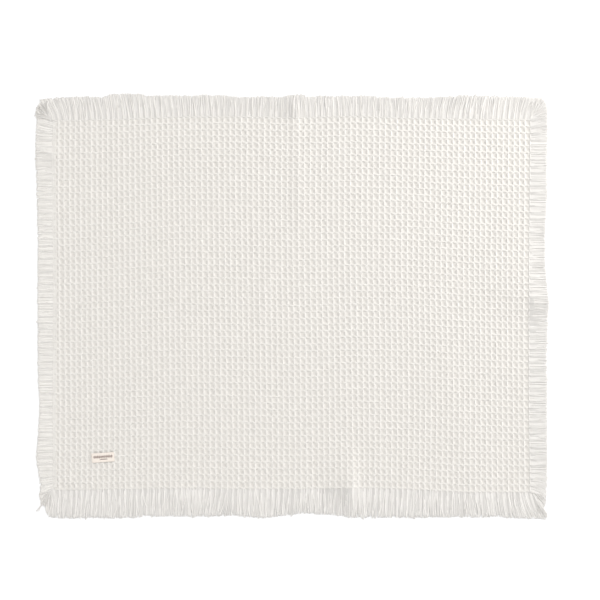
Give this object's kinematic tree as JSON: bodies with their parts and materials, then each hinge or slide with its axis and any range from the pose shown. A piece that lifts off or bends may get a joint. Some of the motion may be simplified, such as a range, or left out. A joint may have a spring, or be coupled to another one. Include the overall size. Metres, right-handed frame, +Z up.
{
  "type": "waffle weave blanket",
  "caption": "Rectangular waffle weave cotton throw blanket lying flat, with a frayed fringe on all its edges and a small sewn-on woven label.",
  "frame": {"origin": "centre of the blanket's bounding box, on the surface it lies on", "axes": "+X along the long side, +Y along the short side towards the edge farther from the label, +Z up out of the face with the label"},
  "size_m": [1.5262, 1.2602, 0.0167],
  "materials": {
    "cloth": "matt loosely spun cotton in a waffle weave",
    "fringe": "matt loose cotton yarns",
    "label": "matt fine woven cotton tape"
  },
  "bodies": {
    "root": {"waffle_cloth": "cloth", "fringe_top": "fringe", "fringe_bottom": "fringe", "fringe_left": "fringe", "fringe_right": "fringe", "label_patch": "label"}
  },
  "joints": []
}
